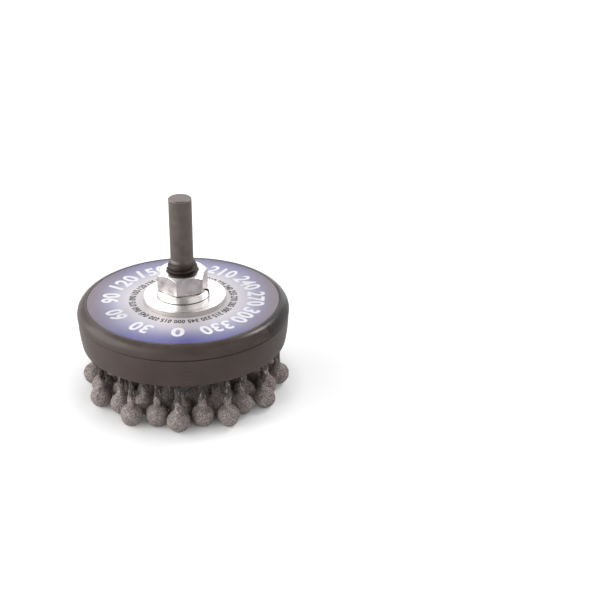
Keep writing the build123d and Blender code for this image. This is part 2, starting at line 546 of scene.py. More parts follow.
@dataclass(frozen=True)
class ZincPlate:
    """Bright zinc plating on a nut or a washer, with a painted contact shadow at its foot."""

    name: str
    foot: float
    bright: tuple = srgb(250, 248, 247)
    cloudy: tuple = srgb(236, 233, 231)
    cloud: Mottle = Mottle(3.5 * MM, 3.0, (0.4, 0.68))
    flank: tuple = srgb(216, 210, 206)
    flank_roughness: float = 0.38
    level_facing: tuple = (0.1, 0.5)
    dull: tuple = srgb(152, 145, 142)
    dullness: Mottle = Mottle(3.6 * MM, 3.0, (0.42, 0.7))
    dull_share: float = 0.0
    # Painted contact shadow: the dark colour at the foot, also used for painted shade at a lock washer's
    # split.
    joint: tuple = srgb(44, 37, 34)
    contact_shadow_width: float = 0.14 * MM
    contact_shadow_fade: tuple = (0.4, 1.0)
    rings: Mottle = Mottle(0.3 * MM)
    ring_depth: float = 0.004 * MM
    ring_strength: float = 0.5
    roughness: tuple = (0.2, 0.27)
    thrown_roughness: float = 0.42
    split: Split | None = None
    split_shade: float = 0.03

    def material(self) -> bpy.types.Material:
        """Build the plating, smoother on its level faces than on its flanks.

        Returns:
            The material.
        """
        nodes = Nodes(self.name)
        cloud = nodes.patches(self.cloud)
        upward = nodes.add("SeparateXYZ", {0: nodes.add("NewGeometry").outputs["Normal"]}).outputs[2]
        level = nodes.between(upward, *self.level_facing)
        flank = nodes.mix(nodes.patches(self.dullness, (0.0, self.dull_share)), self.flank, self.dull)
        colour = nodes.mix(level, flank, nodes.mix(cloud, self.bright, self.cloudy))
        # Painted shade at the split, then a painted contact shadow that darkens the foot.
        if self.split:
            colour = nodes.mix(self.split_edge(nodes), colour, self.joint)
        above = nodes.math("DIVIDE", nodes.math("SUBTRACT", nodes.height(), self.foot), self.contact_shadow_width)
        colour = nodes.mix(nodes.between(above, *self.contact_shadow_fade, (1.0, 0.0)), colour, self.joint)
        rough_value = nodes.blend(cloud, *self.roughness)
        rough_value = nodes.blend(level, self.flank_roughness, rough_value)
        thrown = nodes.seen("Diffuse", "Glossy")
        rough_value = nodes.blend(thrown, rough_value, self.thrown_roughness)
        normal = nodes.bump(nodes.rings(self.rings), self.ring_depth, self.ring_strength)
        return nodes.finish(colour, rough_value, normal, {"Metallic": 1.0})

    def split_edge(self, nodes: Nodes) -> bpy.types.NodeSocket:
        """Give 1 in the split and fade to 0 beside it, where painted shade darkens the ends.

        Args:
            nodes: The material's nodes.

        Returns:
            The share of the painted shade's colour.
        """
        across, along, height = nodes.axes()
        angle = nodes.math("SUBTRACT", nodes.math("ARCTAN2", along, across), self.split.bearing)
        above = nodes.math("SUBTRACT", height, self.split.middle)
        angle = nodes.math("ADD", angle, nodes.math("MULTIPLY", above, self.split.lean))
        width = self.split.half_width
        return nodes.between(nodes.math("ABSOLUTE", angle), width, width + self.split_shade, (1.0, 0.0))


@dataclass(frozen=True)
class MouldedPlastic:
    """Dark satin plastic with a fine spark texture and light scuffs."""

    name: str
    dark: tuple = srgb(70, 58, 54)
    light: tuple = srgb(80, 68, 64)
    cloud: Mottle = Mottle(11.0 * MM, 4.0, (0.3, 0.72))
    scuff: tuple = srgb(98, 87, 82)
    scuff_patches: Mottle = Mottle(6.0 * MM, 3.0, (0.55, 0.75))
    scuff_share: float = 0.35
    scratches: Mottle = Mottle(0.25 * MM, 2.0, (0.6, 0.74))
    spark: Mottle = Mottle(0.16 * MM, 3.0)
    spark_relief: tuple = (0.01 * MM, 0.4)
    spark_roughness: tuple = (-0.03, 0.05)
    sink: Mottle = Mottle(5.0 * MM, 1.0)
    sink_relief: tuple = (0.05 * MM, 0.25)
    specular: float = 0.5
    index: float = 1.36
    roughness: tuple = (0.34, 0.42)
    polish: float = 0.14
    polish_reach: tuple = (38.0 * MM, 40.0 * MM)
    # Painted shade: this dark colour, laid in blotches on one side of the cover, darkens that side as shade
    # and dark reflection would.
    grime_and_painted_shade: tuple = srgb(24, 19, 18)
    painted_shade_blotches: Mottle = Mottle(4.5 * MM, 4.0, (0.66, 0.88))
    grime_and_painted_shade_share: float = 0.0
    painted_shade_bearing: float = math.radians(-6)
    painted_shade_reach: tuple = (math.cos(math.radians(42)), math.cos(math.radians(8)))
    painted_shade_rise: tuple = (-0.3, 0.75)

    def material(self) -> bpy.types.Material:
        """Build the plastic, a little polished near its top.

        Returns:
            The material.
        """
        nodes = Nodes(self.name)
        cloud = nodes.patches(self.cloud)
        spark = nodes.noise(self.spark)
        scratches = nodes.between(nodes.rings(self.scratches), *self.scratches.span)
        scuffs = nodes.math("MULTIPLY", scratches, nodes.patches(self.scuff_patches))
        colour = nodes.mix(cloud, self.dark, self.light)
        colour = nodes.mix(nodes.math("MULTIPLY", scuffs, self.scuff_share), colour, self.scuff)
        # Painted shade: one side is darkened in blotches.
        if self.grime_and_painted_shade_share:
            colour = nodes.mix(self.painted_shade_patch(nodes), colour, self.grime_and_painted_shade)
        grain = nodes.between(spark, *self.spark.span, self.spark_roughness)
        rough_value = nodes.math("ADD", nodes.blend(cloud, *self.roughness), grain)
        polish = nodes.between(nodes.height(), *self.polish_reach, (0.0, self.polish))
        rough_value = nodes.math("SUBTRACT", rough_value, polish)
        normal = nodes.bump(spark, *self.spark_relief)
        normal = nodes.bump(nodes.noise(self.sink), *self.sink_relief, normal)
        plain = {"Specular IOR Level": self.specular, "IOR": self.index}
        return nodes.finish(colour, rough_value, normal, plain)

    def painted_shade_patch(self, nodes: Nodes) -> bpy.types.NodeSocket:
        """Give the share of the painted shade, which lies in blotches on one side.

        Args:
            nodes: The material's nodes.

        Returns:
            The share, up to the most that this finish has.
        """
        across, along, _ = nodes.axes()
        across = nodes.math("MULTIPLY", across, math.cos(self.painted_shade_bearing))
        along = nodes.math("MULTIPLY", along, math.sin(self.painted_shade_bearing))
        facing = nodes.math("DIVIDE", nodes.math("ADD", across, along), nodes.radius())
        facing = nodes.between(facing, *self.painted_shade_reach, self.painted_shade_rise)
        blotches = nodes.math("ADD", facing, nodes.noise(self.painted_shade_blotches))
        return nodes.between(blotches, *self.painted_shade_blotches.span, (0.0, self.grime_and_painted_shade_share))


@dataclass(frozen=True)
class PrintedFilm:
    """Glossy label foil, printed blue at its edge and silver towards the middle."""

    name: str = "printed_film"
    inner: float = 17.0 * MM
    outer: float = 40.6 * MM
    blur: float = 0.025
    blur_patches: Mottle = Mottle(14.0 * MM)
    rim: tuple = (0.5, 0.9)
    # Painted sheen: the outer ring is greyed to mauve at the sides.
    painted_side_sheen: tuple = srgb(134, 120, 126)
    painted_side_sheen_reach: tuple = (23.0 * MM, 38.5 * MM)
    painted_side_sheen_share: float = 0.9
    # Painted shade: the outer ring is deeper blue at the front.
    painted_front_shade: tuple = srgb(86, 88, 158)
    painted_front_shade_reach: tuple = (-24.0 * MM, -38.0 * MM)
    painted_front_shade_share: float = 0.8
    foil: tuple = (0.28, 0.04)
    foil_reach: tuple = (0.2, 0.9)
    specular: float = 0.35
    roughness: tuple = (0.34, 0.46)
    coat: float = 0.1
    coat_roughness: float = 0.25
    wave: Mottle = Mottle(7.0 * MM)
    wave_relief: tuple = (0.05 * MM, 0.3)
    tones: tuple = (
        (0.00, srgb(210, 205, 208)),
        (0.26, srgb(214, 209, 214)),
        (0.42, srgb(196, 192, 206)),
        (0.58, srgb(167, 165, 192)),
        (0.74, srgb(148, 144, 175)),
        (0.90, srgb(129, 125, 159)),
        (1.00, srgb(99, 95, 132)),
    )

    def material(self) -> bpy.types.Material:
        """Build the film from rings of tone, with painted shade that deepens its edge at the front and a
        painted sheen that greys it to mauve at the sides.

        Returns:
            The material.
        """
        nodes = Nodes(self.name)
        share = nodes.between(nodes.radius(), self.inner, self.outer)
        share = nodes.math("ADD", share, nodes.patches(self.blur_patches, (-self.blur, self.blur)))
        ramp = nodes.add("ValToRGB", {0: share})
        stops = ramp.color_ramp.elements
        stops[0].color = (*self.tones[0][1], 1.0)
        stops[1].color = (*self.tones[-1][1], 1.0)
        for position, tone in self.tones[1:-1]:
            stops.new(position).color = (*tone, 1.0)
        across, along, _ = nodes.axes()
        rim = nodes.between(share, *self.rim)
        # Painted shade deepens the front edge, and painted sheen greys the sides to mauve.
        painted_front_shade = nodes.between(along, *self.painted_front_shade_reach, (0.0, self.painted_front_shade_share))
        colour = nodes.mix(nodes.math("MULTIPLY", painted_front_shade, rim), ramp.outputs[0], self.painted_front_shade)
        side = nodes.math("ABSOLUTE", across)
        painted_side_sheen = nodes.between(side, *self.painted_side_sheen_reach, (0.0, self.painted_side_sheen_share))
        colour = nodes.mix(nodes.math("MULTIPLY", painted_side_sheen, rim), colour, self.painted_side_sheen)
        wave = nodes.noise(self.wave)
        plain = {
            "Metallic": nodes.between(share, *self.foil_reach, self.foil),
            "Specular IOR Level": self.specular,
            "Coat Weight": self.coat,
            "Coat Roughness": self.coat_roughness,
        }
        rough_value = nodes.blend(wave, *self.roughness)
        return nodes.finish(colour, rough_value, nodes.bump(wave, *self.wave_relief), plain)


@dataclass(frozen=True)
class PrintedInk:
    """Ink printed on the label, a little worn."""

    name: str
    ink: tuple
    worn: tuple
    wear: Mottle = Mottle(0.5 * MM, 4.0, (0.6, 0.78))
    wear_share: float = 0.5
    grain: Mottle = Mottle(0.3 * MM)
    grain_relief: tuple = (0.004 * MM, 0.3)
    roughness: float = 0.45
    specular: float = 0.35

    def material(self) -> bpy.types.Material:
        """Build the ink, thin in places.

        Returns:
            The material.
        """
        nodes = Nodes(self.name)
        colour = nodes.mix(nodes.patches(self.wear, (0.0, self.wear_share)), self.ink, self.worn)
        normal = nodes.bump(nodes.noise(self.grain), *self.grain_relief)
        return nodes.finish(colour, self.roughness, normal, {"Specular IOR Level": self.specular})


@dataclass(frozen=True)
class CastResin:
    """Nearly black potting resin, glossy, with drips and dust in it."""

    name: str = "cast_resin"
    dark: tuple = srgb(24, 20, 20)
    dusty: tuple = srgb(74, 66, 62)
    dust: Mottle = Mottle(0.5 * MM, 4.0, (0.6, 0.78))
    dusty_patches: Mottle = Mottle(5.0 * MM, 2.0, (0.45, 0.7))
    drips: Mottle = Mottle(1.3 * MM, 3.0)
    drip_relief: tuple = (0.12 * MM, 0.5)
    roughness: tuple = (0.2, 0.7)

    def material(self) -> bpy.types.Material:
        """Build the resin, dusty in patches.

        Returns:
            The material.
        """
        nodes = Nodes(self.name)
        share = nodes.math("MULTIPLY", nodes.patches(self.dust), nodes.patches(self.dusty_patches))
        colour = nodes.mix(share, self.dark, self.dusty)
        normal = nodes.bump(nodes.noise(self.drips), *self.drip_relief)
        return nodes.finish(colour, nodes.blend(share, *self.roughness), normal)


@dataclass(frozen=True)
class AbrasiveGrit:
    """Sharp grey grains bonded in brown resin, which is bare and drawn out on the tails, and darker up the
    tails with painted shade.
    """

    name: str
    grain: float = 0.4 * MM
    dark: tuple = srgb(106, 95, 92)
    middle: tuple = srgb(160, 148, 145)
    middle_grains: tuple = (0.0, 0.55)
    light: tuple = srgb(208, 198, 194)
    light_grains: tuple = (0.72, 1.0)
    gap: tuple = srgb(80, 70, 67)
    gap_reach: tuple = (0.42, 0.72)
    gap_share: float = 0.75
    cloud: Mottle = Mottle(2.6 * MM, 3.0)
    cloud_share: float = 0.35
    # Dark tail colour: partly bare resin, partly painted shade from the skirt above.
    bare_resin_and_shade: tuple = srgb(62, 53, 50)
    bare_resin_and_shade_reach: tuple = (9.5 * MM, 15.5 * MM)
    bare_resin_and_shade_rise: tuple = (-0.5, 1.0)
    bare_resin_and_shade_patches: Mottle = Mottle(0.9 * MM, 4.0, (0.25, 0.75))
    patch_push: tuple = (-0.5, 0.5)
    grain_push: tuple = (0.25, -0.3)
    bare_resin_and_shade_fade: tuple = (0.0, 0.6)
    bare_roughness: float = 0.4
    streak: tuple = srgb(186, 178, 174)
    streaks: Mottle = Mottle(0.75 * MM, 3.0, (0.6, 0.68))
    drawn: tuple = (1.0, 1.0, 0.3)
    grain_rise: float = 0.5
    grain_depth: float = 0.12 * MM
    grain_strength: tuple = (0.75, 0.2)
    dust: Mottle = Mottle(0.13 * MM)
    dust_relief: tuple = (0.03 * MM, 0.6)
    roughness: tuple = (0.85, 0.45)

    def material(self) -> bpy.types.Material:
        """Build the grit, each grain with a tone of its own, and above it the bare resin, whose dark colour
        is partly painted shade.

        Returns:
            The material.
        """
        nodes = Nodes(self.name)
        cells = nodes.add("TexVoronoi", {"Vector": nodes.place(), "Scale": 1.0 / self.grain})
        each = nodes.add("SeparateColor", {0: cells.outputs["Color"]}).outputs[0]
        from_middle = cells.outputs["Distance"]
        tone = nodes.mix(nodes.between(each, *self.middle_grains), self.dark, self.middle)
        tone = nodes.mix(nodes.between(each, *self.light_grains), tone, self.light)
        edge = nodes.between(from_middle, *self.gap_reach, (0.0, self.gap_share))
        tone = nodes.mix(edge, tone, self.gap)
        colour = nodes.mix(nodes.patches(self.cloud, (0.0, self.cloud_share)), tone, self.middle)
        drawn = nodes.add("VectorMath", {0: nodes.place(), 1: self.drawn}, operation="MULTIPLY").outputs[0]
        # Up the tail the colour turns dark: partly bare resin, partly painted shade under the skirt.
        upward = nodes.between(nodes.height(), *self.bare_resin_and_shade_reach, self.bare_resin_and_shade_rise)
        spread = nodes.math("ADD", upward, nodes.patches(self.bare_resin_and_shade_patches, self.patch_push, drawn))
        spread = nodes.math("ADD", spread, nodes.blend(each, *self.grain_push))
        bare_resin_and_shade = nodes.between(spread, *self.bare_resin_and_shade_fade)
        colour = nodes.mix(bare_resin_and_shade, colour, self.bare_resin_and_shade)
        streaks = nodes.patches(self.streaks, vector=drawn)
        colour = nodes.mix(nodes.math("MULTIPLY", streaks, bare_resin_and_shade), colour, self.streak)
        rough_value = nodes.blend(each, *self.roughness)
        rough_value = nodes.blend(bare_resin_and_shade, rough_value, self.bare_roughness)
        bumps = nodes.math("SUBTRACT", nodes.math("MULTIPLY", each, self.grain_rise), from_middle)
        normal = nodes.bump(bumps, self.grain_depth, nodes.blend(bare_resin_and_shade, *self.grain_strength))
        normal = nodes.bump(nodes.noise(self.dust), *self.dust_relief, normal)
        return nodes.finish(colour, rough_value, normal)


@dataclass(frozen=True)
class DrawnNylon:
    """Dark nylon filament with crumbs of abrasive stuck to it."""

    name: str
    dark: tuple = srgb(38, 33, 32)
    crumb: tuple = srgb(150, 140, 135)
    crumbs: Mottle = Mottle(0.45 * MM, 3.0, (0.56, 0.62))
    crumb_relief: tuple = (0.1 * MM, 0.8)
    crumb_reach: tuple = (19.0 * MM, 24.0 * MM)
    crumb_shares: tuple = (1.0, 0.25)
    roughness: tuple = (0.34, 0.8)

    def material(self) -> bpy.types.Material:
        """Build the nylon, with more crumbs near the balls.

        Returns:
            The material.
        """
        nodes = Nodes(self.name)
        low = nodes.between(nodes.height(), *self.crumb_reach, self.crumb_shares)
        share = nodes.math("MULTIPLY", nodes.patches(self.crumbs), low)
        colour = nodes.mix(share, self.dark, self.crumb)
        normal = nodes.bump(share, *self.crumb_relief)
        return nodes.finish(colour, nodes.blend(share, *self.roughness), normal)


def dress(piece: bpy.types.Object, material: bpy.types.Material) -> None:
    """Give a piece its finish.

    Args:
        piece: The piece.
        material: Its material.
    """
    piece.data.materials.clear()
    piece.data.materials.append(material)


def settle(piece: bpy.types.Object, *nodes: str) -> bpy.types.Object:
    """Let a piece ride on the hub, and stand for some of its nodes.

    Args:
        piece: The finished piece.
        *nodes: The nodes that it replaces.

    Returns:
        The piece.
    """
    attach(piece, HUB)
    if nodes:
        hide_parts(*nodes)
    return piece


def ring_piece(
    node: str,
    finish: str,
    grid: np.ndarray,
    material: bpy.types.Material,
    crease: float = CREASE,
) -> bpy.types.Object:
    """Make a piece from a closed outline that goes once round the axis, in place of a node.

    Args:
        node: The node that it stands for.
        finish: The word that its name has after the node's.
        grid: Its points.
        material: Its material.
        crease: Edges that turn by more than this many radians look sharp.

    Returns:
        The piece.
    """
    skin = Skin()
    skin.add_grid(grid, loop=True)
    piece = skin.make(f"{node}_{finish}", crease)
    dress(piece, material)
    return settle(piece, node)


@dataclass
class Arbor:
    """The shank, its cone, and the stud, whose thread runs out on the cone."""

    shank_radius: float = 4.7625 * MM
    chamfer: float = 0.35 * MM
    chamfer_rounding: float = 0.12 * MM
    face_middle: float = 0.2 * MM
    shank_length: float = 26.6 * MM
    neck_length: float = 3.8 * MM
    neck_rounding: float = 1.9 * MM
    stud_radius: float = 6.35 * MM
    stud_chamfer: float = 0.9 * MM
    stud_roundings: tuple = (0.2 * MM, 0.5 * MM)
    pitch: float = 25.4 / 13 * MM
    thread_depth: float = 1.15 * MM
    crest_share: float = 0.14
    root_share: float = 0.8
    rows_per_pitch: int = 18
    row_gap: float = 0.05 * MM
    columns: int = 108
    crease: float = math.radians(40)

    def thread(self, heights: np.ndarray, angles: np.ndarray) -> np.ndarray:
        """Give the radius that the thread leaves.

        Args:
            heights: The height of each row.
            angles: The angle of each column.

        Returns:
            The radius, by row and column.
        """
        turn = heights[:, None] / self.pitch - angles[None, :] / FULL_TURN
        from_crest = np.abs(turn % 1.0 - 0.5) * 2.0
        cut = smooth_step(from_crest, self.crest_share, self.root_share) * self.thread_depth
        return self.stud_radius - cut

    def blank(self, low: float, high: float) -> Outline:
        """Give the outline of the bar before its thread is cut.

        Args:
            low: The height of the stud's end.
            high: The height of the shank's end.

        Returns:
            The open outline.
        """
        stud_top = high - self.shank_length - self.neck_length
        return Outline(
            [
                Corner(self.stud_radius - self.stud_chamfer, low),
                Corner(self.stud_radius, low + self.stud_chamfer, self.stud_roundings[0]),
                Corner(self.stud_radius, stud_top, self.stud_roundings[1]),
                Corner(self.shank_radius, stud_top + self.neck_length, self.neck_rounding),
                Corner(self.shank_radius, high - self.chamfer, self.chamfer_rounding),
                Corner(self.shank_radius - self.chamfer, high, self.chamfer_rounding),
                Corner(self.face_middle, high),
            ],
            closed=False,
        )

    def build(self) -> bpy.types.Object:
        """Build the arbor from rows of points, from the stud's end to the top of the shank.

        Returns:
            The piece.
        """
        low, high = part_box("arbor")
        outline = np.array(self.blank(low.z, high.z).points)
        thread_end = high.z - self.shank_length
        heights = np.arange(low.z, thread_end, self.pitch / self.rows_per_pitch)
        angles = turn_steps(self.columns)
        bar = np.interp(heights, outline[:, 1], outline[:, 0])
        radius = np.minimum(self.thread(heights, angles), bar[:, None])
        stud = round_axis(radius, heights[:, None], angles)
        rest = outline[outline[:, 1] > heights[-1] + self.row_gap]
        shank = round_axis(rest[:, :1], rest[:, 1:], angles)
        skin = Skin()
        skin.add_grid(np.concatenate([stud, shank]), close_start=True, close_end=True)
        piece = skin.make("arbor_turned", self.crease)
        dress(piece, OxidisedSteel().material())
        return settle(piece, "arbor")


@dataclass
class JamNut:
    """A chamfered hexagon nut round the stud."""

    node: str
    turn: float
    flats: float = 19.05 * MM
    face_margin: float = 0.25 * MM
    bore_radius: float = 5.75 * MM
    sink_radius: float = 6.95 * MM
    sink_rounding: float = 0.1 * MM
    chamfer_angles: tuple = (math.radians(14), math.radians(41))
    corner_rounding: float = 0.4 * MM
    edge_rounding: float = 0.16 * MM
    dull_share: float = 0.8
    columns: int = 264

    def hexagon(self, angle: float) -> float:
        """Give the radius of the rounded hexagon.

        Args:
            angle: The angle from a corner, in radians.

        Returns:
            The radius, in metres.
        """
        sixth = math.pi / 3
        from_corner = abs((angle + sixth / 2) % sixth - sixth / 2)
        centre = (self.flats / 2 - self.corner_rounding) / math.cos(sixth / 2)
        tangent = math.atan2(self.corner_rounding / 2, centre + self.corner_rounding * math.cos(sixth / 2))
        if from_corner >= tangent:
            return self.flats / 2 / math.cos(sixth / 2 - from_corner)
        across = centre * math.sin(from_corner)
        return centre * math.cos(from_corner) + math.sqrt(self.corner_rounding**2 - across**2)

    def build(self) -> bpy.types.Object:
        """Build the nut: its outline changes round the turn, with the hexagon's radius.

        Returns:
            The piece.
        """
        low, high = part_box(self.node)
        face = self.flats / 2 - self.face_margin
        sink = self.sink_radius - self.bore_radius
        columns = []
        for angle in turn_steps(self.columns):
            side = self.hexagon(angle)
            rise, drop = ((side - face) * math.tan(slope) for slope in self.chamfer_angles)
            corners = [
                Corner(self.bore_radius, low.z + sink),
                Corner(self.sink_radius, low.z, self.sink_rounding),
                Corner(face, low.z, self.edge_rounding),
                Corner(side, low.z + rise, self.edge_rounding),
                Corner(side, high.z - drop, self.edge_rounding),
                Corner(face, high.z, self.edge_rounding),
                Corner(self.sink_radius, high.z, self.sink_rounding),
                Corner(self.bore_radius, high.z - sink),
            ]
            outline = np.array(Outline(corners).points)
            columns.append(round_axis(outline[:, 0], outline[:, 1], angle + self.turn))
        grid = np.stack(columns, axis=1)
        plate = ZincPlate("zinc_plate_" + self.node, low.z, dull_share=self.dull_share, ring_strength=0.0)
        return ring_piece(self.node, "plated", grid, plate.material())


@dataclass
class SplitWasher:
    """The split lock washer, a bar bent round the stud whose ends nearly meet on a slant."""

    bore_radius: float = 6.55 * MM
    gap: float = 1.3 * MM
    slant: float = math.radians(28)
    bearing: float = math.radians(-12)
    edge_rounding: float = 0.3 * MM
    flank: tuple = srgb(240, 236, 234)
    flank_roughness: float = 0.24
    # How high the painted contact shadow reaches above the foot.
    contact_shadow_width: float = 0.34 * MM
    columns: int = 180

    def build(self) -> bpy.types.Object:
        """Build the washer by carrying its section from one end of the bar to the other.

        Returns:
            The piece.
        """
        low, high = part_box("split_lock_washer")
        outer = (high.x - low.x) / 2
        section = Outline(
            [
                Corner(self.bore_radius, low.z, self.edge_rounding),
                Corner(outer, low.z, self.edge_rounding),
                Corner(outer, high.z, self.edge_rounding),
                Corner(self.bore_radius, high.z, self.edge_rounding),
            ]
        )
        points = np.array(section.points)
        cut = Split(self.bearing, self.gap / 2 / outer, math.tan(self.slant) / outer, (low.z + high.z) / 2)
        lean = (points[:, 1:] - cut.middle) * cut.lean
        share = np.linspace(0.0, 1.0, self.columns)
        angle = cut.bearing + cut.half_width - lean + (FULL_TURN - 2.0 * cut.half_width) * share
        skin = Skin()
        skin.add_grid(round_axis(points[:, :1], points[:, 1:], angle), wrap=False, loop=True)
        first = np.arange(len(points)) * self.columns
        skin.faces.append(tuple(first[::-1].tolist()))
        skin.faces.append(tuple((first + self.columns - 1).tolist()))
        piece = skin.make("split_lock_washer_plated", CREASE)
        plate = ZincPlate(
            "zinc_plate_lock_washer",
            low.z,
            flank=self.flank,
            flank_roughness=self.flank_roughness,
            contact_shadow_width=self.contact_shadow_width,
            ring_strength=0.0,
            split=cut,
        )
        dress(piece, plate.material())
        return settle(piece, "split_lock_washer")


@dataclass
class FlatWasher:
    """A stamped flat washer, with one edge rolled by the punch and a faint burr on the other."""

    node: str
    bore_radius: float
    rolled_edge: float = 0.55 * MM
    sharp_edge: float = 0.12 * MM
    columns: int = 216

    def build(self) -> bpy.types.Object:
        """Build the washer where its node lies, which may be a little off the axis.

        Returns:
            The piece.
        """
        low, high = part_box(self.node)
        outer = (high.x - low.x) / 2
        outline = Outline(
            [
                Corner(self.bore_radius, low.z, self.sharp_edge),
                Corner(outer, low.z, self.sharp_edge),
                Corner(outer, high.z, self.rolled_edge),
                Corner(self.bore_radius, high.z, self.rolled_edge),
            ]
        )
        grid = outline.turned(self.columns)
        grid[..., :2] += ((low.x + high.x) / 2, (low.y + high.y) / 2)
        plate = ZincPlate("zinc_plate_" + self.node, low.z)
        return ring_piece(self.node, "plated", grid, plate.material())


@dataclass(frozen=True)
class NumberRing:
    """A ring of printed numbers, their tops to the rim."""

    radius: float
    height: float
    width: float
    weight: float
    step: int
    digits: int = 1


@dataclass
class LabelDial:
    """The printed label, with a plain dial of degrees on it, whose 0 stands at the front."""

    bore_radius: float = 7.145 * MM
    edge_rounding: float = 0.08 * MM
    ink_height: float = 0.02 * MM
    front: float = math.radians(-90)
    letter_space: float = 2.6
    glyph_depth: float = 1.0
    glyph_steps: int = 5
    zero_width: float = 1.2
    pale_numbers: NumberRing = NumberRing(30.4 * MM, 7.6 * MM, 4.5 * MM, 0.03, 30)
    dark_numbers: NumberRing = NumberRing(21.3 * MM, 3.0 * MM, 1.5 * MM, 0.035, 15, 3)
    columns: int = 256

    def build(self) -> list[bpy.types.Object]:
        """Build the film, the white print and the dark print.

        Returns:
            The three pieces.
        """
        low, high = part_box("label_disc")
        outer = (high.x - low.x) / 2
        outline = Outline(
            [
                Corner(self.bore_radius, low.z),
                Corner(outer, low.z),
                Corner(outer, high.z, self.edge_rounding),
                Corner(self.bore_radius, high.z),
            ]
        )
        skin = Skin()
        skin.add_grid(outline.turned(self.columns), loop=True)
        film = skin.make("label_film", CREASE)
        dress(film, PrintedFilm(outer=outer).material())
        settle(film, "label_disc")
        pale_ink = PrintedInk("pale_ink", srgb(240, 239, 243), srgb(196, 194, 212))
        dark_ink = PrintedInk("dark_ink", srgb(40, 34, 38), srgb(92, 86, 92))
        pale = self.numbers("label_numbers_pale", self.pale_numbers, pale_ink, high.z)
        dark = self.numbers("label_numbers_dark", self.dark_numbers, dark_ink, high.z)
        return [film, pale, dark]

    def numbers(self, name: str, ring: NumberRing, ink: PrintedInk, height: float) -> bpy.types.Object:
        """Print a ring of numbers on the film.

        Args:
            name: The piece's name.
            ring: The size and place of the numbers.
            ink: What they are printed with.
            height: The height of the film under them.

        Returns:
            The piece.
        """
        skin = Skin()
        for degrees in range(0, 360, ring.step):
            text = f"{degrees:0{ring.digits}d}"
            self.add_number(skin, text, self.front - math.radians(degrees), ring, height)
        piece = skin.make(name)
        dress(piece, ink.material())
        return settle(piece)

    def add_number(self, skin: Skin, text: str, angle: float, ring: NumberRing, height: float) -> None:
        """Add one number.

        Args:
            skin: The mesh to add it to.
            text: The number.
            angle: Where it stands, in radians.
            ring: The size and place of the numbers.
            height: The height of the film under it.
        """
        curve = bpy.data.curves.new("number", "FONT")
        curve.body = text
        curve.align_x = "CENTER"
        curve.align_y = "CENTER"
        curve.offset = ring.weight
        curve.space_character = 1.0 + self.letter_space * ring.weight
        curve.extrude = self.glyph_depth / 2
        curve.resolution_u = self.glyph_steps
        holder = bpy.data.objects.new("number", curve)
        bpy.context.scene.collection.objects.link(holder)
        bpy.context.view_layer.update()
        mesh = bpy.data.meshes.new_from_object(holder)
        points = np.array([vertex.co for vertex in mesh.vertices])
        size = points.max(axis=0) - points.min(axis=0)
        middle = (points.max(axis=0) + points.min(axis=0)) / 2
        width = len(text) * ring.width * (self.zero_width if text == "0" else 1.0)
        scale = (width / size[0], ring.height / size[1], self.ink_height / self.glyph_depth)
        spot = Vector((math.cos(angle), math.sin(angle), 0.0)) * ring.radius
        spot.z = height + self.ink_height / 2
        turn = Matrix.Rotation(angle - math.pi / 2, 4, "Z")
        place = Matrix.Translation(spot) @ turn @ Matrix.Diagonal((*scale, 1.0))
        skin.add_mesh(mesh, place @ Matrix.Translation(-Vector(middle)))
        bpy.data.objects.remove(holder)
        bpy.data.curves.remove(curve)
        bpy.data.meshes.remove(mesh)


